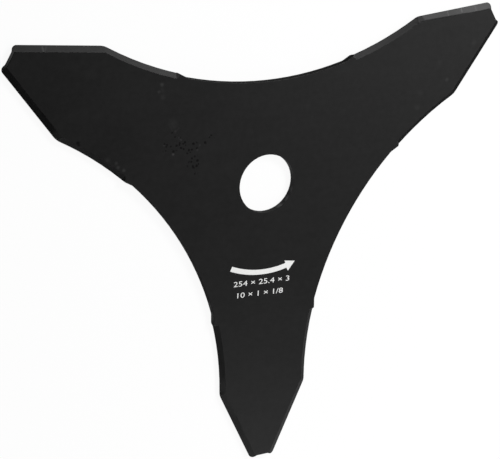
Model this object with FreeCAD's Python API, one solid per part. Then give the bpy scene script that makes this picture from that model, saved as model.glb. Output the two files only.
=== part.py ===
import FreeCAD, Part
import math
import os

# Brush cutter blade: one flat steel plate with three arms, in millimetres, +Z up.
# It lies on its back face. The axis of the arbor bore is the Z axis, and one arm points along -Y.
# Both long edges of each arm are ground on both faces, so the blade can be turned over when worn.

# Sizes of the whole plate
bore_diameter = 25.4
tip_circle_diameter = 254.0
plate_thickness = 3.0
edge_break = 0.25

# Sizes of the outline
arm_count = 3
first_arm_angle = -90.0
hub_radius = 44.0
plain_arc_radius = 138.5
straight_edge_angle = 24.5
shoulder_radius = 8.0
tip_nose_spacing = 9.3
tip_nose_radius = 1.4
tip_hollow_slope = 26.0
tip_hollow_depth = 0.75
tip_hollow_radius = 2.0

# Sizes of the ground edges
edge_start = 59.6
edge_proud = 1.0
edge_land = 0.5
arc_bevel_width = 2.1
straight_bevel_width = 2.4
run_out_length = 1.3
step_foot_radius = 4.0
step_head_radius = 6.0

# Sizes worked out from those above
half_gap_angle = math.radians(180.0 / arm_count)
bevel_drop = (plate_thickness - edge_land) / 2.0
sharp_arc_radius = plain_arc_radius - edge_proud
cutter_spill = 2.0 * edge_proud
cutter_overlap = 4.0 * straight_bevel_width

up = FreeCAD.Vector(0, 0, 1)
origin = FreeCAD.Vector(0, 0, 0)
mid_plane = FreeCAD.Vector(0, 0, plate_thickness / 2.0)


def arm_point(x, y, z=0.0):
    """A point x along the arm's centre line and y across it."""
    return FreeCAD.Vector(x, y, z)


def arc_centre():
    """Centre of the arcs in the gap beside the arm, halfway round to the next arm."""
    reach = hub_radius + plain_arc_radius
    return arm_point(reach * math.cos(half_gap_angle), reach * math.sin(half_gap_angle))


def arc_point(radius, angle, z=0.0):
    """A point on an arc about the centre in the gap, at an angle in radians."""
    centre = arc_centre()
    return arm_point(centre.x + radius * math.cos(angle), centre.y + radius * math.sin(angle), z)


def valley_point():
    """Deepest point of the plain arc between two arms."""
    return arm_point(hub_radius * math.cos(half_gap_angle), hub_radius * math.sin(half_gap_angle))


def edge_start_point():
    """Inner end of the ground edge, on the arc that stands proud of the plain one."""
    centre = arc_centre()
    depth = math.sqrt(sharp_arc_radius ** 2 - (edge_start - centre.x) ** 2)
    return arm_point(edge_start, centre.y - depth)


def step_foot_point():
    """Where the step, which runs along the arm, comes down to the plain arc."""
    centre = arc_centre()
    height = edge_start_point().y
    reach = math.sqrt(plain_arc_radius ** 2 - (centre.y - height) ** 2)
    return arm_point(centre.x - reach, height)


def nose_centre():
    """Centre of the rounding of one of the tip's two noses, which both touch the tip circle."""
    half_spacing = tip_nose_spacing / 2.0
    reach = math.sqrt((tip_circle_diameter / 2.0 - tip_nose_radius) ** 2 - half_spacing ** 2)
    return arm_point(reach, half_spacing)


def tip_corner_point():
    """Corner of the tip before it is rounded to a nose, where the straight edge meets the hollow's side."""
    edge_normal = math.radians(90.0 - straight_edge_angle)
    side_normal = math.radians(-tip_hollow_slope)
    middle = (edge_normal + side_normal) / 2.0
    distance = tip_nose_radius / math.cos((edge_normal - side_normal) / 2.0)
    return nose_centre() + arm_point(math.cos(middle), math.sin(middle)) * distance


def tip_floor_point():
    """End of the flat floor of the hollow between the two noses of the tip."""
    corner = tip_corner_point()
    floor = nose_centre().x + tip_nose_radius - tip_hollow_depth
    return arm_point(floor, corner.y - (corner.x - floor) / math.tan(math.radians(tip_hollow_slope)))


def straight_edge_direction():
    """Direction of the straight edge, from the tip corner back towards the shoulder."""
    angle = math.radians(straight_edge_angle)
    return arm_point(-math.cos(angle), math.sin(angle))


def shoulder_point():
    """Where the straight edge meets the ground arc."""
    corner = tip_corner_point()
    direction = straight_edge_direction()
    to_centre = arc_centre() - corner
    along = to_centre.dot(direction)
    aside_squared = to_centre.dot(to_centre) - along ** 2
    distance = along - math.sqrt(sharp_arc_radius ** 2 - aside_squared)
    return corner + direction * distance


def arc_angle(point):
    """Angle in radians of a point about the centre in the gap."""
    centre = arc_centre()
    return math.atan2(point.y - centre.y, point.x - centre.x)


def arc_between(radius, start, end):
    """Arc edge about the centre in the gap."""
    middle = arc_point(radius, (arc_angle(start) + arc_angle(end)) / 2.0)
    return Part.Arc(start, middle, end).toShape()


def half_arm_edges():
    """Outline of one side of an arm, from the valley to the centre line of the tip."""
    floor_end = tip_floor_point()
    return [
        arc_between(plain_arc_radius, valley_point(), step_foot_point()),
        Part.makeLine(step_foot_point(), edge_start_point()),
        arc_between(sharp_arc_radius, edge_start_point(), shoulder_point()),
        Part.makeLine(shoulder_point(), tip_corner_point()),
        Part.makeLine(tip_corner_point(), floor_end),
        Part.makeLine(floor_end, arm_point(floor_end.x, 0.0)),
    ]


def both_sides(shapes):
    """The shapes, and their mirror images across the arm's centre line."""
    across = FreeCAD.Vector(0, 1, 0)
    return shapes + [shape.mirror(origin, across) for shape in shapes]


def both_faces(shapes):
    """The shapes, and their mirror images across the plate's middle plane."""
    return shapes + [shape.mirror(mid_plane, up) for shape in shapes]


def every_arm(shapes):
    """Copies of the shapes on each arm, turned from the X axis to the arm's place."""
    copies = []
    for number in range(arm_count):
        angle = first_arm_angle + number * 360.0 / arm_count
        copies += [shape.rotated(origin, up, angle) for shape in shapes]
    return copies


def vertical_edges_at(solid, corner):
    """Upright edges of the solid at one corner of the outline, on both sides of every arm."""
    posts = every_arm(both_sides([Part.Vertex(corner)]))
    found = []
    for edge in solid.Edges:
        ends = [vertex.Point for vertex in edge.Vertexes]
        upright = len(ends) == 2 and (ends[0] - ends[1]).cross(up).Length < 1e-6
        if upright and any((ends[0] - post.Point).cross(up).Length < 1e-4 for post in posts):
            found.append(edge)
    return found


def blank_plate():
    """The blank: the outline through the full thickness, with its corners rounded."""
    edges = every_arm(both_sides(half_arm_edges()))
    outline = Part.Wire(Part.__sortEdges__(edges))
    plate = Part.Face(outline).extrude(up * plate_thickness)
    roundings = [
        (step_foot_point(), step_foot_radius),
        (edge_start_point(), step_head_radius),
        (shoulder_point(), shoulder_radius),
        (tip_corner_point(), tip_nose_radius),
        (tip_floor_point(), tip_hollow_radius),
    ]
    for corner, radius in roundings:
        plate = plate.makeFillet(radius, vertical_edges_at(plate, corner))
    return plate


def rim_edges(solid):
    """All edges that lie in the front face or in the back face."""
    rims = []
    for edge in solid.Edges:
        box = edge.BoundBox
        flat = box.ZLength < 1e-6
        on_face = min(abs(box.ZMin), abs(box.ZMin - plate_thickness)) < 1e-6
        if flat and on_face:
            rims.append(edge)
    return rims


def bored_plate():
    """The blank with the rims of its outline broken, and with a crisp arbor bore."""
    plate = blank_plate()
    plate = plate.makeFillet(edge_break, rim_edges(plate))
    bore = Part.makeCylinder(bore_diameter / 2.0, plate_thickness, origin, up)
    return plate.cut(bore)


def bevel_section(width):
    """Corners of what a bevel takes away, as pairs of distance in from the edge and height."""
    slope = bevel_drop / width
    land_top = plate_thickness - bevel_drop
    crown = plate_thickness + cutter_spill * slope
    return [
        (width + cutter_spill, crown),
        (-cutter_spill, land_top - cutter_spill * slope),
        (-cutter_spill, crown),
    ]


def arc_bevel_cutter():
    """Cone-sided ring sector that grinds the arc edge on the front face."""
    section = [FreeCAD.Vector(sharp_arc_radius + inward, 0, z) for inward, z in bevel_section(arc_bevel_width)]
    start = full_bevel_angle()
    end = arc_angle(shoulder_point()) + cutter_overlap / sharp_arc_radius
    face = Part.Face(Part.makePolygon(section + section[:1]))
    sector = face.revolve(origin, up, math.degrees(end - start))
    sector.rotate(origin, up, math.degrees(start))
    sector.translate(arc_centre())
    return sector


def full_bevel_angle():
    """Angle about the centre in the gap at which the arc bevel reaches its full depth."""
    return arc_angle(edge_start_point()) + run_out_length / sharp_arc_radius


def run_out_cutter():
    """Small ramp in which the arc bevel rises to the front face at its inner end."""
    full = full_bevel_angle()
    inner = arc_point(sharp_arc_radius + arc_bevel_width, full, plate_thickness)
    deep = arc_point(sharp_arc_radius, full, plate_thickness - bevel_drop)
    end = edge_start_point() + up * plate_thickness
    reach = 1.0 + cutter_spill / arc_bevel_width
    corners = [inner, inner + (deep - inner) * reach, inner + (end - inner) * reach]
    ramp = Part.Face(Part.makePolygon(corners + corners[:1]))
    return ramp.extrude(up * plate_thickness)


def straight_bevel_cutter():
    """Prism that grinds the straight edge on the front face, from past the shoulder to past the tip."""
    direction = straight_edge_direction()
    inward = arm_point(-direction.y, direction.x)
    if inward.y > 0:
        inward = inward * -1
    start = tip_corner_point() - direction * cutter_overlap
    length = (shoulder_point() - tip_corner_point()).Length + 2.0 * cutter_overlap
    section = [start + inward * distance + up * z for distance, z in bevel_section(straight_bevel_width)]
    face = Part.Face(Part.makePolygon(section + section[:1]))
    return face.extrude(direction * length)


def edge_cutter():
    """All that is ground away along one edge of an arm, on the front face."""
    return arc_bevel_cutter().fuse([run_out_cutter(), straight_bevel_cutter()])


def ground_blade():
    """The bored plate with every bevel ground away."""
    return bored_plate().cut(every_arm(both_faces(both_sides([edge_cutter()]))))


def main():
    """Builds the blade and writes it."""
    os.makedirs("parts", exist_ok=True)
    blade = ground_blade()
    solid = blade.Solids[0]
    solid.exportStep("parts/blade.step")
    box = solid.BoundBox
    print("solids", len(blade.Solids), "valid", solid.isValid(), "faces", len(solid.Faces))
    print("size", round(box.XLength, 3), round(box.YLength, 3), round(box.ZLength, 3))
    print("volume", round(solid.Volume, 1))


main()
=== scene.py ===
"""A brush cutter blade: one steel plate with three arms, in satin black paint with a white print.

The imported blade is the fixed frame. This script paints it, prints the rotation arrow and the plain
size numerals on its front face, and sets the floor, the soft lamps and the camera. Lengths are in
metres, written as millimetres times MM.
"""

import logging
import math
from dataclasses import dataclass, field
from enum import Enum
from typing import Any, Iterable, Optional, Sequence, Union

import bmesh
import bpy
from mathutils import Matrix, Quaternion, Vector


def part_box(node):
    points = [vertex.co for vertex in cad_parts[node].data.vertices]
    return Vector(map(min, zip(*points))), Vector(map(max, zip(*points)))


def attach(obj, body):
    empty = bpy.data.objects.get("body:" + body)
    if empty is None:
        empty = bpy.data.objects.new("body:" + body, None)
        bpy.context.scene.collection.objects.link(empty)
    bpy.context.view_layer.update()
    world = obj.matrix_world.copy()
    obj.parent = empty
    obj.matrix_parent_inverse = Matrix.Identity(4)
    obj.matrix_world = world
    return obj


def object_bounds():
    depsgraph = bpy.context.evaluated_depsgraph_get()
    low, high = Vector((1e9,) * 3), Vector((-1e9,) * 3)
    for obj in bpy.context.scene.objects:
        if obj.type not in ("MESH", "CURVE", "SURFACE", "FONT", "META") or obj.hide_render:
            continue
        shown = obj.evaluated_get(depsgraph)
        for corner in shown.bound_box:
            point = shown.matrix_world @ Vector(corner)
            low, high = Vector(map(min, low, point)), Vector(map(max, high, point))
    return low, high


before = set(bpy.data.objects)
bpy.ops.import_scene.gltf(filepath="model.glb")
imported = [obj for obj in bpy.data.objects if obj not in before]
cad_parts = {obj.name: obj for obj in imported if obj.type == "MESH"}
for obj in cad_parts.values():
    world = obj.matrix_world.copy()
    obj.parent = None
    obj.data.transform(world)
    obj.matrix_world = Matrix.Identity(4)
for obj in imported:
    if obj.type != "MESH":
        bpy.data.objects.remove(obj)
cad_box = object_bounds()

MM = 0.001
BODY = "root"
BLADE_NODE = "blade"
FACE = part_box(BLADE_NODE)[1].z  # height of the front face
WHITE = (1.0, 1.0, 1.0, 1.0)
LEVEL = (1.0, 1.0, 0.0)  # times a place, this leaves its height out
MID_NOISE = 0.5  # what noise is on average, so it also stands for no noise

report = logging.getLogger("blade")

Tint = tuple[float, float, float]
Spot = tuple[float, float, float]
Span = tuple[float, float]
Band = tuple[Span, Span]
Corner = tuple[float, float]


class Axis(Enum):
    """The parts of a vector."""

    X = "X"
    Y = "Y"
    Z = "Z"


class Arm(Enum):
    """The three arms, with their bearings in degrees."""

    RIGHT = 30.0
    LEFT = 150.0
    LOWER = -90.0


class Side(Enum):
    """The two sides of an arm, going round the bore from its middle line."""

    COUNTERCLOCKWISE = 1.0
    CLOCKWISE = -1.0


def spot(x: float, y: float, height: Optional[float] = None) -> Spot:
    """A place on the blade, from millimetres.

    Args:
        x: Its X.
        y: Its Y.
        height: Its Z, or None for the front face.

    Returns:
        The place in metres.
    """
    return x * MM, y * MM, FACE if height is None else height * MM


def heading(bearing: float) -> tuple[Spot, Spot]:
    """The level unit vectors along a bearing in degrees, and a quarter turn past it."""
    turned = math.radians(bearing)
    return (math.cos(turned), math.sin(turned), 0.0), (-math.sin(turned), math.cos(turned), 0.0)


def opaque(tint: Tint) -> tuple[float, float, float, float]:
    """A colour with an alpha of 1, as a colour socket takes it."""
    return *tint, 1.0


class Field:
    """What comes out of a shader node, kept with the tree that it belongs to."""

    def __init__(self, tree: "Tree", socket: bpy.types.NodeSocket) -> None:
        """Keeps the tree and the socket."""
        self.tree = tree
        self.socket = socket


class Number(Field):
    """A number that changes over the surface, with Python's operators for its maths."""

    def _math(self, operation: str, *operands: "Operand") -> "Number":
        """Adds one Math node.

        Args:
            operation: The node's operation.
            operands: Numbers, or fields, for its inputs in order.

        Returns:
            What the node gives.
        """
        return self.tree.number("ShaderNodeMath", {"operation": operation}, dict(enumerate(operands)))

    def __add__(self, other: "Operand") -> "Number":
        """self + other."""
        return self._math("ADD", self, other)

    def __radd__(self, other: "Operand") -> "Number":
        """other + self."""
        return self._math("ADD", other, self)

    def __sub__(self, other: "Operand") -> "Number":
        """self - other."""
        return self._math("SUBTRACT", self, other)

    def __rsub__(self, other: "Operand") -> "Number":
        """other - self."""
        return self._math("SUBTRACT", other, self)

    def __mul__(self, other: "Operand") -> "Number":
        """self * other."""
        return self._math("MULTIPLY", self, other)

    def __rmul__(self, other: "Operand") -> "Number":
        """other * self."""
        return self._math("MULTIPLY", other, self)

    def __truediv__(self, other: "Operand") -> "Number":
        """self / other."""
        return self._math("DIVIDE", self, other)

    def __rtruediv__(self, other: "Operand") -> "Number":
        """other / self."""
        return self._math("DIVIDE", other, self)

    def __abs__(self) -> "Number":
        """The size of the number, without its sign."""
        return self._math("ABSOLUTE", self)

    def highest(self, other: "Operand") -> "Number":
        """The larger of the two."""
        return self._math("MAXIMUM", self, other)

    def ramp(self, start: float, end: float) -> "Number":
        """A smooth step.

        Args:
            start: Where the step is still 0.
            end: Where it has come to 1. It may lie below start, for a step that falls.

        Returns:
            A number from 0 to 1.
        """
        settings = {"interpolation_type": "SMOOTHSTEP"}
        inputs = {"Value": self, "From Min": start, "From Max": end}
        return self.tree.number("ShaderNodeMapRange", settings, inputs)

    def band(self, first: Span, second: Span) -> "Number":
        """Two smooth steps at once: 1 only where both of them have come to 1."""
        return self.ramp(*first) * self.ramp(*second)


Operand = Union[Number, float]


class Arrow(Field):
    """A vector that changes over the surface, such as a place or a normal."""

    def _vector(self, operation: str, other: Union["Arrow", Sequence[float]]) -> "Arrow":
        """Adds one Vector Math node on this vector and another."""
        return self.tree.vector("ShaderNodeVectorMath", {"operation": operation}, {0: self, 1: other})

    def __add__(self, other: Union["Arrow", Sequence[float]]) -> "Arrow":
        """self + other."""
        return self._vector("ADD", other)

    def __sub__(self, other: Union["Arrow", Sequence[float]]) -> "Arrow":
        """self - other."""
        return self._vector("SUBTRACT", other)

    def __mul__(self, other: Union["Arrow", Sequence[float]]) -> "Arrow":
        """self * other, axis by axis."""
        return self._vector("MULTIPLY", other)

    def dot(self, other: Union["Arrow", Sequence[float]]) -> Number:
        """The dot product with another vector."""
        settings = {"operation": "DOT_PRODUCT"}
        return self.tree.number("ShaderNodeVectorMath", settings, {0: self, 1: other}, output="Value")

    def length(self) -> Number:
        """How long the vector is."""
        return self.tree.number("ShaderNodeVectorMath", {"operation": "LENGTH"}, {0: self}, output="Value")

    def part(self, axis: Axis) -> Number:
        """One part of the vector."""
        return self.tree.number("ShaderNodeSeparateXYZ", {}, {0: self}, output=axis.value)


class Colour(Field):
    """A colour that changes over the surface."""

    def mix(self, other: Union["Colour", Tint], share: Operand) -> "Colour":
        """Mixes in another colour.

        Args:
            other: The other colour.
            share: How much of it, from 0 to 1.

        Returns:
            The mixed colour.
        """
        return self.tree.blend(self, other, share)


class Tree:
    """The nodes of one material."""

    def __init__(self, name: str) -> None:
        """Makes an empty node material.

        Args:
            name: The material's name.
        """
        self.material = bpy.data.materials.new(name)
        self.material.use_nodes = True
        self.nodes = self.material.node_tree.nodes
        self.links = self.material.node_tree.links
        self.nodes.clear()

    def node(self, kind: str, settings: dict[str, Any], inputs: dict[Union[int, str], Any]) -> bpy.types.Node:
        """Adds a node.

        Args:
            kind: The node's type.
            settings: Its properties, set before its inputs.
            inputs: A constant or a field for each input, by name or by number.

        Returns:
            The new node.
        """
        made = self.nodes.new(kind)
        for name, value in settings.items():
            setattr(made, name, value)
        for key, value in inputs.items():
            if isinstance(value, Field):
                self.links.new(value.socket, made.inputs[key])
            else:
                made.inputs[key].default_value = value
        return made

    def number(self, kind: str, settings: dict, inputs: dict, output: Union[int, str] = 0) -> Number:
        """Adds a node and gives one of its outputs as a number."""
        return Number(self, self.node(kind, settings, inputs).outputs[output])

    def vector(self, kind: str, settings: dict, inputs: dict, output: Union[int, str] = 0) -> Arrow:
        """Adds a node and gives one of its outputs as a vector."""
        return Arrow(self, self.node(kind, settings, inputs).outputs[output])

    def blend(self, first: Union[Colour, Tint], second: Union[Colour, Tint], share: Operand) -> Colour:
        """Mixes two colours.

        A Mix node has inputs of the same name for numbers, vectors and colours, so its colour inputs
        are found by number.

        Args:
            first: The colour at a share of 0.
            second: The colour at a share of 1.
            share: How much of the second.

        Returns:
            The mixed colour.
        """
        factor, colour_a, colour_b, result = 0, 6, 7, 2
        ends = [end if isinstance(end, Field) else opaque(end) for end in (first, second)]
        inputs = {factor: share, colour_a: ends[0], colour_b: ends[1]}
        return Colour(self, self.node("ShaderNodeMix", {"data_type": "RGBA"}, inputs).outputs[result])

    def place(self) -> Arrow:
        """The place on the piece, in metres, in the blade's own frame."""
        return self.vector("ShaderNodeTexCoord", {}, {}, output="Object")

    def normal(self) -> Arrow:
        """The direction that the surface faces, in the blade's own frame."""
        return self.vector("ShaderNodeTexCoord", {}, {}, output="Normal")

    def bump(self, height: Number, depth: float) -> Arrow:
        """Turns a height into a normal.

        Args:
            height: The height, from 0 to 1.
            depth: What a height of 1 is, in metres.

        Returns:
            The bent normal.
        """
        return self.vector("ShaderNodeBump", {}, {"Height": height, "Distance": depth, "Strength": 1.0})

    def shader(self, kind: str, inputs: dict) -> Field:
        """Adds a shader.

        Args:
            kind: The shader node's type.
            inputs: Its inputs.

        Returns:
            The light that it gives.
        """
        return Field(self, self.node(kind, {}, inputs).outputs[0])

    def surface(self, kind: str, inputs: dict) -> bpy.types.Material:
        """Adds the last shader and the material's output.

        Args:
            kind: The shader node's type.
            inputs: Its inputs.

        Returns:
            The finished material.
        """
        self.node("ShaderNodeOutputMaterial", {}, {"Surface": self.shader(kind, inputs)})
        return self.material


@dataclass(frozen=True)
class Noise:
    """Soft random noise. A stretch under 1 along an axis draws its lumps out along that axis."""

    lump: float
    detail: float = 2.0
    roughness: float = 0.5
    stretch: Optional[Spot] = None

    def _inputs(self, place: Arrow) -> dict[str, Any]:
        """The noise node's inputs at a place."""
        where = place * self.stretch if self.stretch else place
        return {"Vector": where, "Scale": 1.0 / self.lump, "Detail": self.detail, "Roughness": self.roughness}

    def number(self, place: Arrow) -> Number:
        """The noise as a number about 0.5, from 0 to 1."""
        return place.tree.number("ShaderNodeTexNoise", {}, self._inputs(place))

    def vector(self, place: Arrow) -> Arrow:
        """Three such numbers at once, as a vector."""
        return place.tree.vector("ShaderNodeTexNoise", {}, self._inputs(place), output="Color")


@dataclass(frozen=True)
class Smudge:
    """A soft round patch of the paint, such as a place that was handled or rubbed, or a painted highlight on
    a wall.
    """

    place: Spot
    radius: float
    strength: float
    raggedness: float = 0.8
    rim: Span = (1.4, 0.4)

    def mask(self, place: Arrow, ragged: Operand) -> Number:
        """Where the patch is.

        Args:
            place: The place on the blade.
            ragged: Noise that breaks up the patch's rim, or MID_NOISE for an even rim.

        Returns:
            Its strength in the middle, and 0 outside.
        """
        distance = (place - self.place).length() / self.radius
        return (distance + ragged * self.raggedness).ramp(*self.rim) * self.strength


@dataclass(frozen=True)
class Scratch:
    """A short thin line across the paint. Its bearing is in degrees.

    It fades towards its ends and its sides, over the given shares of its length and its width.
    """

    place: Spot
    bearing: float
    length: float
    width: float
    strength: float
    end_shares: Span = (0.5, 0.35)
    side_shares: Span = (1.0, 0.2)

    def mask(self, place: Arrow) -> Number:
        """Where the line is.

        Args:
            place: The place on the blade.

        Returns:
            Its strength on the line, and 0 off it.
        """
        ahead, across = heading(self.bearing)
        offset = place - self.place
        along = abs(offset.dot(ahead))
        aside = abs(offset.dot(across))
        ends = along.ramp(*(self.length * share for share in self.end_shares))
        return aside.ramp(*(self.width * share for share in self.side_shares)) * ends * self.strength


@dataclass(frozen=True)
class PitCluster:
    """Small pits in the paint of the front face, crowded in a few patches, with some light specks."""

    patches: tuple[Smudge, ...] = (
        Smudge(spot(-45.5, 21.3), 3.4 * MM, 1.0),
        Smudge(spot(-39.5, 22.0), 4.6 * MM, 1.0),
        Smudge(spot(-34.0, 19.3), 5.2 * MM, 1.0),
        Smudge(spot(-33.5, 13.3), 4.6 * MM, 1.0),
        Smudge(spot(-33.3, 9.2), 2.6 * MM, 1.0),
        Smudge(spot(-42.0, 26.2), 3.0 * MM, 0.8),
        Smudge(spot(-29.8, 21.0), 2.8 * MM, 1.0),
        Smudge(spot(-25.9, 23.1), 2.0 * MM, 0.8),
    )
    patch_rims: Noise = Noise(4.0 * MM)
    crowding: Span = (0.15, 0.45)
    spacing: float = 1.75 * MM
    bend: Noise = Noise(1.2 * MM)
    bend_size: float = 0.9 * MM
    pit_radius: float = 0.5 * MM
    flat_share: float = 0.2
    radius_spread: float = 0.25 * MM
    speck_lot: Span = (0.90, 0.92)
    speck_colour: Tint = (0.012, 0.012, 0.012)

    def masks(self, place: Arrow) -> tuple[Number, Number]:
        """Where the pits and the light specks are.

        Args:
            place: The place on the blade.

        Returns:
            The mask of the pits and the mask of the specks.
        """
        tree = place.tree
        ragged = self.patch_rims.number(place)
        crowd: Operand = 0.0
        for patch in self.patches:
            crowd = patch.mask(place, ragged).highest(crowd)
        bent = place + self.bend.vector(place) * (self.bend_size, self.bend_size, 0.0)
        cells = tree.node("ShaderNodeTexVoronoi", {"voronoi_dimensions": "2D"},
                          {"Vector": bent, "Scale": 1.0 / self.spacing})
        lot = Arrow(tree, cells.outputs["Color"])
        distance = Number(tree, cells.outputs["Distance"]) * self.spacing
        edge = distance - lot.part(Axis.X) * self.radius_spread
        there = edge.ramp(self.pit_radius, self.pit_radius * self.flat_share) * crowd.ramp(*self.crowding)
        light = lot.part(Axis.Y).ramp(*self.speck_lot)
        return there * (1.0 - light), there * light


@dataclass(frozen=True)
class GroundEdge:
    """Part of an arm's ground edge, with how dull its paint is and how much lighter it is painted, part dust
    and part painted highlight.
    """

    arm: Arm
    side: Side
    dull: float = 0.0
    # Lighter paint on this stretch: part dust, part painted highlight.
    dust_and_highlight: float = 0.0
    start: float = 52.0 * MM
    end: float = 140.0 * MM
    fade: float = 4.0 * MM
    off_middle: Span = (2.0 * MM, 5.0 * MM)

    def mask(self, place: Arrow) -> Number:
        """Where the edge is.

        Args:
            place: The place on the blade.

        Returns:
            A number that is 1 on this side of this arm, between the start and the end of the part.
        """
        ahead, across = heading(self.arm.value)
        along = place.dot(ahead)
        aside = place.dot([step * self.side.value for step in across])
        stretch = along.band((self.start, self.start + self.fade), (self.end, self.end - self.fade))
        return stretch * aside.ramp(*self.off_middle)


@dataclass(frozen=True)
class BlackCoating:
    """Satin black paint over ground steel, with the marks that the blade has from handling, and with painted
    highlights on the walls, on the run-out slopes and on stretches of the ground edges.

    The bands of facing tell the flat faces, the bevels, the rims and the walls apart: facing is 1 on
    a surface that looks straight up or down and 0 on one that stands upright.
    """

    name: str = "satin_black_paint"
    deep: Tint = (0.0003, 0.0003, 0.0003)
    worn: Tint = (0.0040, 0.0040, 0.0040)
    # The lighter tint of rubbed paint and dust, which also paints the highlights on the walls, the run-out
    # slopes and the ground edges.
    rubbed_and_highlight: Tint = (0.06, 0.06, 0.06)
    roughness: float = 0.5
    specular: float = 0.19
    dull_roughness: float = 0.9
    dull_specular: float = 0.03

    bevel_facing: Band = ((0.97, 0.94), (0.78, 0.82))
    rim_facing: Band = ((0.8, 0.7), (0.1, 0.2))
    run_out_facing: Band = ((0.81, 0.79), (0.3, 0.4))
    wall_facing: Span = (0.62, 0.52)
    off_face_facing: Span = (0.9, 0.8)

    cloud: Noise = Noise(26.0 * MM, detail=3.0)
    rolled: Noise = Noise(5.0 * MM, detail=3.0, stretch=(0.25, 1.6, 1.0))
    lumps: Noise = Noise(2.4 * MM)
    grain: Noise = Noise(0.45 * MM, detail=3.0, roughness=0.6)
    cloud_share: float = 0.3
    rolled_share: float = 0.2
    lump_share: float = 0.4
    grain_share: float = 0.1
    mottle_span: Span = (0.3, 0.7)
    cloud_roughness: float = 0.08
    grain_roughness: float = 0.10
    rubbed_gloss: float = 0.1

    relief: float = 0.004 * MM
    peel: Noise = Noise(1.1 * MM, detail=1.0)
    grain_height: float = 0.5
    streak_height: float = 1.2
    pit_depth: float = 3.0
    pit_dullness: float = 0.75

    streaks: Noise = Noise(0.35 * MM, detail=1.0, stretch=(0.05, 0.05, 1.0))
    streak_span: Span = (0.35, 0.65)
    streak_dust: float = 0.05
    rim_patches: Noise = Noise(3.0 * MM)
    rim_span: Span = (0.6, 0.8)
    rim_dust: float = 0.25

    # Painted highlight: the lighter tint lightens the run-out slopes near the hub, which the lamps leave
    # dark.
    run_out_highlight: float = 0.6
    run_out_reach: Band = ((58.0 * MM, 60.0 * MM), (68.0 * MM, 66.0 * MM))
    upper_run_outs: Span = (20.0 * MM, 30.0 * MM)
    left_run_outs: Span = (-50.0 * MM, -60.0 * MM)
    left_run_out_share: float = 0.3

    wall_dullness: float = 0.87
    bore_reach: Span = (16.0 * MM, 15.0 * MM)
    bore_sheen: float = 0.3
    tip_reach: Span = (119.0 * MM, 121.0 * MM)
    tip_sheen: float = 0.72

    pits: PitCluster = PitCluster()
    mark_rims: Noise = Noise(1.5 * MM, detail=3.0)
    smudges: tuple[Smudge, ...] = (
        Smudge(spot(-47.5, 47.4), 1.2 * MM, 0.34),
        Smudge(spot(-47.3, 44.9), 1.6 * MM, 0.08),
        Smudge(spot(-48.8, 44.6), 1.0 * MM, 0.26),
        Smudge(spot(-47.1, 42.2), 1.8 * MM, 0.14),
        Smudge(spot(-42.9, 30.8), 3.2 * MM, 0.09),
        Smudge(spot(-42.8, 18.0), 0.8 * MM, 0.55),
        Smudge(spot(-67.3, 17.3), 1.1 * MM, 0.32),
        Smudge(spot(-66.6, 15.4), 1.1 * MM, 0.28),
        Smudge(spot(-64.2, 13.9), 1.2 * MM, 0.34),
        Smudge(spot(-71.0, 18.9), 1.8 * MM, 0.12),
        Smudge(spot(86.8, 36.2), 1.4 * MM, 0.22),
        Smudge(spot(99.6, 51.4), 2.0 * MM, 0.10),
        Smudge(spot(82.6, 44.2), 2.0 * MM, 0.05),
        Smudge(spot(73.7, 31.3), 2.2 * MM, 0.06),
        Smudge(spot(72.3, 25.3), 2.2 * MM, 0.09),
        Smudge(spot(-77.4, 54.8), 4.0 * MM, 0.04),
        Smudge(spot(-83.9, 57.3), 3.0 * MM, 0.02),
        Smudge(spot(18.3, 31.4), 2.6 * MM, 0.04),
        Smudge(spot(-7.6, 23.6), 2.0 * MM, 0.03),
        Smudge(spot(-21.4, 39.8), 1.8 * MM, 0.04),
        Smudge(spot(-40.8, 50.1), 1.4 * MM, 0.28),
        Smudge(spot(-31.1, 36.7), 3.0 * MM, 0.03),
    )
    # Painted highlights: patches of the lighter tint on the bore wall and on the side wall beside the lower
    # arm's step.
    wall_highlights: tuple[Smudge, ...] = (
        Smudge(spot(12.0, -4.2, 2.3), 2.0 * MM, 1.0),
        Smudge(spot(10.0, -7.9, 2.2), 2.0 * MM, 1.0),
        Smudge(spot(6.9, -10.7, 2.1), 2.6 * MM, 1.0),
        Smudge(spot(-2.0, -12.5, 0.9), 1.7 * MM, 0.6),
        Smudge(spot(-25.6, -51.0, 1.5), 3.6 * MM, 0.8),
        Smudge(spot(-24.0, -56.6, 1.5), 4.0 * MM, 1.0),
    )
    dull_noses: tuple[Smudge, ...] = (
        Smudge(spot(-112.3, 59.1, 1.0), 8.0 * MM, 1.0),
        Smudge(spot(-107.1, 68.2, 0.0), 5.0 * MM, 1.0),
    )
    dents: tuple[Smudge, ...] = (
        Smudge(spot(-83.2, 27.5), 1.2 * MM, 0.9),
        Smudge(spot(-83.0, 26.5), 1.1 * MM, 0.9),
        Smudge(spot(-42.6, 19.2), 1.1 * MM, 0.9),
    )
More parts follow.
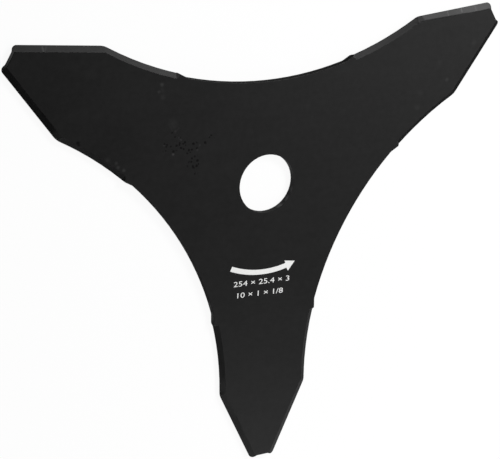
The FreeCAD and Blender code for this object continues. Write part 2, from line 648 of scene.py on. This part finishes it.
    # Stretches of ground edge: some duller, and some painted lighter, which is part dust and part painted
    # highlight.
    edges: tuple[GroundEdge, ...] = (
        GroundEdge(Arm.RIGHT, Side.CLOCKWISE, dull=0.75),
        GroundEdge(Arm.RIGHT, Side.COUNTERCLOCKWISE, dust_and_highlight=0.08),
        GroundEdge(Arm.RIGHT, Side.COUNTERCLOCKWISE, dust_and_highlight=0.22, start=104.0 * MM, fade=16.0 * MM),
        GroundEdge(Arm.RIGHT, Side.COUNTERCLOCKWISE, dull=0.5, start=92.9 * MM, end=96.2 * MM, fade=0.6 * MM),
        GroundEdge(Arm.LEFT, Side.COUNTERCLOCKWISE, dull=0.22),
        GroundEdge(Arm.LEFT, Side.COUNTERCLOCKWISE, dull=0.14, end=94.0 * MM),
        GroundEdge(Arm.LEFT, Side.COUNTERCLOCKWISE, dust_and_highlight=0.15, start=92.5 * MM, end=97.0 * MM, fade=1.0 * MM),
        GroundEdge(Arm.LEFT, Side.CLOCKWISE, dull=0.12),
        GroundEdge(Arm.LOWER, Side.CLOCKWISE, dust_and_highlight=0.16, end=94.0 * MM),
        GroundEdge(Arm.LOWER, Side.CLOCKWISE, dust_and_highlight=0.14, start=80.0 * MM, end=108.0 * MM, fade=14.0 * MM),
        GroundEdge(Arm.LOWER, Side.CLOCKWISE, dust_and_highlight=0.12, start=84.0 * MM, end=95.0 * MM),
    )
    faded_foot: Scratch = Scratch(spot(83.46, 63.62), 4.46, 30.0 * MM, 0.6 * MM, 0.8)
    scratches: tuple[Scratch, ...] = (
        Scratch(spot(-96.2, 65.8, 2.4), 100.0, 2.3 * MM, 0.50 * MM, 0.42),
        Scratch(spot(-95.1, 65.9, 2.4), 62.0, 2.1 * MM, 0.40 * MM, 0.20),
        Scratch(spot(-41.0, 27.8), 50.0, 3.6 * MM, 0.40 * MM, 0.08),
        Scratch(spot(-43.4, 28.4), 110.0, 3.0 * MM, 0.40 * MM, 0.08),
        Scratch(spot(-39.7, 24.1), -50.0, 2.4 * MM, 0.55 * MM, 0.20),
        Scratch(spot(92.9, 66.3, 2.4), 95.5, 2.6 * MM, 0.40 * MM, 0.6),
        Scratch(spot(86.0, 65.2, 2.4), 95.5, 2.6 * MM, 0.35 * MM, 0.4),
        Scratch(spot(100.0, 66.4, 2.4), 95.5, 2.6 * MM, 0.50 * MM, 0.25),
    )

    def material(self) -> bpy.types.Material:
        """Builds the paint.

        Returns:
            The node material.
        """
        tree = Tree(self.name)
        place = tree.place()
        facing = abs(tree.normal().part(Axis.Z))
        reach = (place * LEVEL).length()
        bevel = facing.band(*self.bevel_facing)

        cloud = self.cloud.number(place)
        rolled = self.rolled.number(place)
        grain = self.grain.number(place)
        lumps = self.lumps.number(place)
        mottle = cloud * self.cloud_share + rolled * self.rolled_share
        mottle = mottle + lumps * self.lump_share + grain * self.grain_share
        paint = tree.blend(self.deep, self.worn, mottle.ramp(*self.mottle_span))

        pits, specks = self.pits.masks(place)
        # Rubbed marks on the face, and painted highlights on the walls.
        marks_and_wall_highlights = self._marks_and_wall_highlights(place, facing)
        # Lighter paint on the ground edges, part dust and part painted highlight, and their loss of sheen.
        dust_and_highlight, dull = self._edge_wear(place, bevel)
        streaks = self.streaks.number(place).ramp(*self.streak_span) * bevel
        # Dust and streaks on the ground edges, with painted highlight on them and on the run-out slopes.
        bevel_dust_and_highlight = (dust_and_highlight + streaks * self.streak_dust).highest(self._run_out_highlight(place, facing, reach))
        rim_dust = facing.band(*self.rim_facing) * self.rim_patches.number(place).ramp(*self.rim_span)
        # The lighter tint goes on the rubbed marks, the dust, the streaks and the rims, and on the painted
        # highlights.
        paint = paint.mix(self.rubbed_and_highlight, marks_and_wall_highlights)
        paint = paint.mix(self.rubbed_and_highlight, bevel_dust_and_highlight)
        paint = paint.mix(self.rubbed_and_highlight, rim_dust * self.rim_dust)
        paint = paint.mix(self.pits.speck_colour, specks)

        roughness = self.roughness + (grain - MID_NOISE) * self.grain_roughness
        roughness = roughness + (cloud - MID_NOISE) * self.cloud_roughness - marks_and_wall_highlights * self.rubbed_gloss
        height = grain * self.grain_height + self.peel.number(place)
        height = height + streaks * self.streak_height - pits * self.pit_depth
        normal = tree.bump(height, self.relief)
        glossy = tree.shader("ShaderNodeBsdfPrincipled", {
            "Base Color": paint,
            "Roughness": roughness,
            "Normal": normal,
            "Specular IOR Level": self.specular,
        })
        lustreless = tree.shader("ShaderNodeBsdfPrincipled", {
            "Base Color": paint,
            "Roughness": self.dull_roughness,
            "Normal": normal,
            "Specular IOR Level": self.dull_specular,
        })
        dull = dull.highest(self._wall_dullness(place, facing, reach)).highest(pits * self.pit_dullness)
        for dent in self.dents:
            dull = dull.highest(dent.mask(place, cloud))
        return tree.surface("ShaderNodeMixShader", {"Fac": dull, 1: glossy, 2: lustreless})

    def _edge_wear(self, place: Arrow, bevel: Number) -> tuple[Number, Number]:
        """How much lighter the ground edges are painted, part dust and part painted highlight, and how dull
        they are at a place.

        Args:
            place: The place on the blade.
            bevel: Where the ground edges are.

        Returns:
            The lighter paint, part dust and part painted highlight, and the loss of sheen, each from 0 to 1.
        """
        dust_and_highlight: Operand = 0.0
        dull: Operand = 0.0
        for edge in self.edges:
            there = edge.mask(place) * bevel
            dust_and_highlight = there * edge.dust_and_highlight + dust_and_highlight
            dull = there * edge.dull + dull
        return dust_and_highlight, (self.faded_foot.mask(place) * bevel).highest(dull)

    def _run_out_highlight(self, place: Arrow, facing: Number, reach: Number) -> Number:
        """How much painted highlight lies on the short slopes where ground edges end near the hub.

        Args:
            place: The place on the blade.
            facing: How far the surface faces up or down, from 0 to 1.
            reach: How far the place is from the bore's axis.

        Returns:
            The painted highlight, from 0 to 1: most on the two upper slopes, and less on the left ones.
        """
        upper = place.part(Axis.Y).ramp(*self.upper_run_outs)
        left = place.part(Axis.X).ramp(*self.left_run_outs) * self.left_run_out_share
        slope = facing.band(*self.run_out_facing) * upper.highest(left)
        return slope * reach.band(*self.run_out_reach) * self.run_out_highlight

    def _wall_dullness(self, place: Arrow, facing: Number, reach: Number) -> Number:
        """How far the side walls have lost their sheen: less in the bore, and least at the tips.

        Args:
            place: The place on the blade.
            facing: How far the surface faces up or down, from 0 to 1.
            reach: How far the place is from the bore's axis.

        Returns:
            A number from 0 for the full sheen to 1 for none.
        """
        bore = reach.ramp(*self.bore_reach)
        tips = reach.ramp(*self.tip_reach)
        for nose in self.dull_noses:
            tips = tips * (1.0 - nose.mask(place, MID_NOISE))
        dullness = self.wall_dullness - bore * self.bore_sheen - tips * self.tip_sheen
        return facing.ramp(*self.wall_facing) * dullness

    def _marks_and_wall_highlights(self, place: Arrow, facing: Number) -> Number:
        """How much the lighter tint is painted at a place: rubbing from the smudges and the scratches, and
        painted highlights on the walls.

        Args:
            place: The place on the blade.
            facing: How far the surface faces up or down, from 0 to 1.

        Returns:
            A number from 0 for sound paint to 1 for rubbed paint, and likewise for painted highlight.
        """
        ragged = self.mark_rims.number(place)
        total: Operand = 0.0
        # Painted highlights on the walls, kept off the flat faces.
        for smudge in self.wall_highlights:
            total = smudge.mask(place, ragged) + total
        total = total * facing.ramp(*self.off_face_facing)
        for smudge in self.smudges:
            total = smudge.mask(place, ragged) + total
        for scratch in self.scratches:
            total = scratch.mask(place).highest(total)
        return total


@dataclass(frozen=True)
class WhiteInk:
    """Screen-printed white ink, a little uneven."""

    name: str = "white_ink"
    full: Tint = (0.86, 0.86, 0.85)
    thin: Tint = (0.74, 0.74, 0.73)
    roughness: float = 0.6
    roughness_spread: float = 0.15
    streaks: Noise = Noise(1.3 * MM, detail=3.0, stretch=(1.0, 2.5, 1.0))
    mesh: Noise = Noise(0.25 * MM, detail=1.0)
    streak_share: float = 0.7
    mesh_share: float = 0.3
    thin_span: Span = (0.5, 0.8)
    relief: float = 0.003 * MM

    def material(self) -> bpy.types.Material:
        """Builds the ink.

        Returns:
            The node material.
        """
        tree = Tree(self.name)
        place = tree.place()
        mesh = self.mesh.number(place)
        thinness = self.streaks.number(place) * self.streak_share + mesh * self.mesh_share
        return tree.surface("ShaderNodeBsdfPrincipled", {
            "Base Color": tree.blend(self.full, self.thin, thinness.ramp(*self.thin_span)),
            "Roughness": self.roughness + (mesh - MID_NOISE) * self.roughness_spread,
            "Normal": tree.bump(mesh, self.relief),
        })


@dataclass(frozen=True)
class FloorFinish:
    """Plain white floor. To the eye, and in gloss and glass, part of it is an even white."""

    name: str = "white_floor"
    colour: Tint = (0.97, 0.97, 0.97)
    even_share: float = 0.93

    def material(self) -> bpy.types.Material:
        """Builds the floor's finish.

        Returns:
            The node material.
        """
        tree = Tree(self.name)
        lit = tree.shader("ShaderNodeBsdfDiffuse", {"Color": opaque(self.colour)})
        even = tree.shader("ShaderNodeEmission", {"Color": WHITE, "Strength": 1.0})
        rays = tree.node("ShaderNodeLightPath", {}, {})
        seen = Number(tree, rays.outputs["Is Camera Ray"])
        for kind in ("Is Glossy Ray", "Is Transmission Ray"):
            seen = seen.highest(Number(tree, rays.outputs[kind]))
        return tree.surface("ShaderNodeMixShader", {"Fac": seen * self.even_share, 1: lit, 2: even})


def add_mesh(name: str, mesh: bpy.types.Mesh, material: bpy.types.Material) -> bpy.types.Object:
    """Adds an object with a mesh and a material to the scene.

    Args:
        name: The object's name.
        mesh: Its mesh.
        material: Its only material.

    Returns:
        The new object.
    """
    piece = bpy.data.objects.new(name, mesh)
    bpy.context.scene.collection.objects.link(piece)
    mesh.materials.clear()
    mesh.materials.append(material)
    return piece


@dataclass
class Blade:
    """The blade itself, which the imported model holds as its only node."""

    coating: BlackCoating = field(default_factory=BlackCoating)

    def dress(self) -> bpy.types.Object:
        """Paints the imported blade.

        Returns:
            The blade.
        """
        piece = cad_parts[BLADE_NODE]
        paint = self.coating.material()
        for slot in piece.material_slots:
            slot.material = paint
        return piece


@dataclass
class InkLayer:
    """The layer of ink on the front face. It starts a little below the face, so that no gap shows."""

    thickness: float = 0.02 * MM
    sunk: float = 0.005 * MM
    ink: WhiteInk = field(default_factory=WhiteInk)
    material: bpy.types.Material = field(init=False)

    def __post_init__(self) -> None:
        """Makes the ink's material, which all the printed pieces share."""
        self.material = self.ink.material()

    @property
    def bottom(self) -> float:
        """The height at which the ink starts."""
        return FACE - self.sunk

    @property
    def depth(self) -> float:
        """How thick the ink is from its bottom to its top."""
        return self.sunk + self.thickness

    def lay(self, name: str, patches: Iterable[Sequence[Corner]]) -> bpy.types.Object:
        """Prints flat patches.

        Args:
            name: The new piece's name.
            patches: The corners of each patch, counter-clockwise. Neighbours share corners.

        Returns:
            The printed piece.
        """
        build = bmesh.new()
        corners: dict[Corner, bmesh.types.BMVert] = {}
        for patch in patches:
            for x, y in patch:
                if (x, y) not in corners:
                    corners[(x, y)] = build.verts.new((x, y, self.bottom))
            build.faces.new([corners[corner] for corner in patch])
        lifted = bmesh.ops.extrude_face_region(build, geom=list(build.faces), use_keep_orig=True)
        top = [part for part in lifted["geom"] if isinstance(part, bmesh.types.BMVert)]
        bmesh.ops.translate(build, vec=Vector((0.0, 0.0, self.depth)), verts=top)
        bmesh.ops.recalc_face_normals(build, faces=list(build.faces))
        mesh = bpy.data.meshes.new(name)
        build.to_mesh(mesh)
        build.free()
        return self.finish(name, mesh)

    def finish(self, name: str, mesh: bpy.types.Mesh) -> bpy.types.Object:
        """Adds a printed piece that rides on the blade, in the ink's finish.

        Args:
            name: The new piece's name.
            mesh: Its mesh.

        Returns:
            The printed piece.
        """
        piece = add_mesh(name, mesh, self.material)
        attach(piece, BODY)
        return piece


@dataclass
class RotationArrow:
    """The printed arrow that shows which way the blade turns. Its band runs round the bore's axis.

    Angles are in degrees, and the barbs and the tip are each a radius and an angle.
    """

    inner_radius: float = 38.0 * MM
    band_width: float = 2.25 * MM
    tail_angle: float = -114.6
    neck_angle: float = -75.6
    inner_barb: tuple[float, float] = (36.75 * MM, -75.75)
    outer_barb: tuple[float, float] = (41.9 * MM, -75.1)
    tip: tuple[float, float] = (39.0 * MM, -69.0)
    steps: int = 40

    def point(self, radius: float, angle: float) -> Corner:
        """A point round the bore's axis, at an angle in degrees."""
        turned = math.radians(angle)
        return radius * math.cos(turned), radius * math.sin(turned)

    def patches(self) -> list[list[Corner]]:
        """The arrow as flat patches.

        Returns:
            The corners of the band's short stretches and of the head.
        """
        outer_radius = self.inner_radius + self.band_width
        step = (self.neck_angle - self.tail_angle) / self.steps
        angles = [self.tail_angle + step * number for number in range(self.steps + 1)]
        inside = [self.point(self.inner_radius, angle) for angle in angles]
        outside = [self.point(outer_radius, angle) for angle in angles]
        band = [[inside[n], outside[n], outside[n + 1], inside[n + 1]] for n in range(self.steps)]
        barbs = [self.point(*place) for place in (self.outer_barb, self.tip, self.inner_barb)]
        return band + [[inside[-1], outside[-1], *barbs]]

    def build(self, layer: InkLayer) -> bpy.types.Object:
        """Prints the arrow.

        Args:
            layer: The ink.

        Returns:
            The printed piece.
        """
        return layer.lay("rotation_arrow", self.patches())


@dataclass
class SizeRow:
    """One row of plain numerals. Its tilt is in degrees.

    The numerals are made at any size and depth, and then scaled to the row's own.
    """

    name: str
    text: str
    centre: Corner
    width: float
    height: float
    tilt: float = -2.3
    raw_depth: float = 0.5
    curve_steps: int = 3

    def _solid_numerals(self) -> bpy.types.Mesh:
        """Makes the numerals as solids, at any size.

        Returns:
            Their mesh.
        """
        curve = bpy.data.curves.new(self.name, "FONT")
        curve.body = self.text
        curve.extrude = self.raw_depth
        curve.resolution_u = self.curve_steps
        holder = bpy.data.objects.new(self.name, curve)
        bpy.context.scene.collection.objects.link(holder)
        bpy.context.view_layer.update()
        mesh = bpy.data.meshes.new_from_object(holder.evaluated_get(bpy.context.evaluated_depsgraph_get()))
        bpy.data.objects.remove(holder)
        mesh.name = self.name
        return mesh

    def build(self, layer: InkLayer) -> bpy.types.Object:
        """Prints the row.

        Args:
            layer: The ink.

        Returns:
            The printed piece.
        """
        mesh = self._solid_numerals()
        corners = [vertex.co.copy() for vertex in mesh.vertices]
        low = Vector(min(corner[axis] for corner in corners) for axis in range(3))
        high = Vector(max(corner[axis] for corner in corners) for axis in range(3))
        wide, tall, deep = (end - start for start, end in zip(low, high))
        grow = Matrix.Diagonal((self.width / wide, self.height / tall, layer.depth / deep, 1.0))
        turn = Matrix.Rotation(math.radians(self.tilt), 4, "Z")
        seat = Matrix.Translation((*self.centre, layer.bottom + layer.depth / 2.0))
        mesh.transform(seat @ turn @ grow @ Matrix.Translation(-(low + high) / 2.0))
        return layer.finish(self.name, mesh)


@dataclass
class Print:
    """All that is printed in white on the front face of the lower arm."""

    arrow: RotationArrow = field(default_factory=RotationArrow)
    rows: tuple[SizeRow, ...] = (
        SizeRow("size_in_millimetres", "254 × 25.4 × 3", (-1.75 * MM, -43.4 * MM), 26.6 * MM, 2.35 * MM),
        SizeRow("size_in_inches", "10 × 1 × 1/8", (-2.35 * MM, -48.6 * MM), 21.8 * MM, 2.35 * MM),
    )

    def build(self) -> list[bpy.types.Object]:
        """Prints the arrow and the rows.

        Returns:
            The printed pieces.
        """
        layer = InkLayer()
        return [self.arrow.build(layer)] + [row.build(layer) for row in self.rows]


@dataclass(frozen=True)
class View:
    """Where a lamp or the camera stands, as seen from what it looks at. Angles are in degrees."""

    bearing: float
    rise: float
    distance: float
    roll: float = 0.0

    def hold(self, data: Union[bpy.types.Light, bpy.types.Camera], target: Vector) -> bpy.types.Object:
        """Adds a lamp or a camera at this place, turned to its target.

        Args:
            data: The lamp's or the camera's own data, which also gives the object its name.
            target: What it looks at.

        Returns:
            The new object.
        """
        holder = bpy.data.objects.new(data.name, data)
        bpy.context.scene.collection.objects.link(holder)
        turned, lifted = math.radians(self.bearing), math.radians(self.rise)
        level = math.cos(lifted)
        back = Vector((level * math.cos(turned), level * math.sin(turned), math.sin(lifted)))
        holder.location = target + back * self.distance
        holder.rotation_mode = "QUATERNION"
        roll = Quaternion((0.0, 0.0, 1.0), math.radians(self.roll))
        holder.rotation_quaternion = (-back).to_track_quat("-Z", "Y") @ roll
        return holder


@dataclass(frozen=True)
class SoftLamp:
    """A large soft round lamp."""

    name: str
    view: View
    size: float
    power: float

    def build(self, target: Vector) -> bpy.types.Object:
        """Adds the lamp.

        Args:
            target: What it looks at.

        Returns:
            The lamp.
        """
        data = bpy.data.lights.new(self.name, "AREA")
        data.shape = "DISK"
        data.size = self.size
        data.energy = self.power
        return self.view.hold(data, target)


@dataclass
class Studio:
    """The floor that the blade lies on, the lamps and the light of the room."""

    floor_side: float = 4.0
    floor_gap: float = 0.02 * MM
    room_light: float = 0.03
    finish: FloorFinish = field(default_factory=FloorFinish)
    lamps: tuple[SoftLamp, ...] = (
        SoftLamp("back_lamp", View(52.2, 37.1, 0.687), 0.25, 3.97),
        SoftLamp("right_lamp", View(-3.5, 51.4, 1.067), 0.25, 2.88),
        SoftLamp("low_lamp", View(-75.1, 24.7, 0.40), 0.42, 1.10),
    )

    def build(self) -> None:
        """Adds the floor, the lamps and the world."""
        low, high = cad_box
        half = self.floor_side / 2.0
        height = low.z - self.floor_gap
        corners = [(x * half, y * half, height) for x, y in ((-1, -1), (1, -1), (1, 1), (-1, 1))]
        mesh = bpy.data.meshes.new("floor")
        mesh.from_pydata(corners, [], [range(len(corners))])
        add_mesh("floor", mesh, self.finish.material())
        for lamp in self.lamps:
            lamp.build((low + high) / 2.0)
        world = bpy.data.worlds.new("room")
        world.use_nodes = True
        background = world.node_tree.nodes["Background"]
        background.inputs["Color"].default_value = WHITE
        background.inputs["Strength"].default_value = self.room_light
        bpy.context.scene.world = world


@dataclass
class PhotoCamera:
    """The camera, at the photograph's viewing angle. It looks down on the blade."""

    aim: Spot = (-6.17 * MM, -20.30 * MM, 0.0)
    view: View = View(141.916, 57.560, 667.93 * MM, roll=124.256)
    lens: float = 113.846
    sensor_width: float = 36.0
    nearest: float = 10.0 * MM

    def build(self) -> bpy.types.Object:
        """Adds the camera and makes it the scene's own.

        Returns:
            The camera.
        """
        data = bpy.data.cameras.new("photo_camera")
        data.lens = self.lens
        data.sensor_width = self.sensor_width
        data.clip_start = self.nearest
        camera = self.view.hold(data, Vector(self.aim))
        bpy.context.scene.camera = camera
        return camera


def main() -> None:
    """Builds the whole scene and reports each piece."""
    logging.basicConfig(level=logging.INFO, format="%(name)s: %(message)s")
    bpy.context.scene.view_settings.view_transform = "Standard"
    pieces = [Blade().dress(), *Print().build()]
    Studio().build()
    PhotoCamera().build()
    for piece in pieces:
        finish = piece.material_slots[0].material
        report.info("%s: %d faces in %s", piece.name, len(piece.data.polygons), finish.name)


if __name__ == "__main__":
    main()
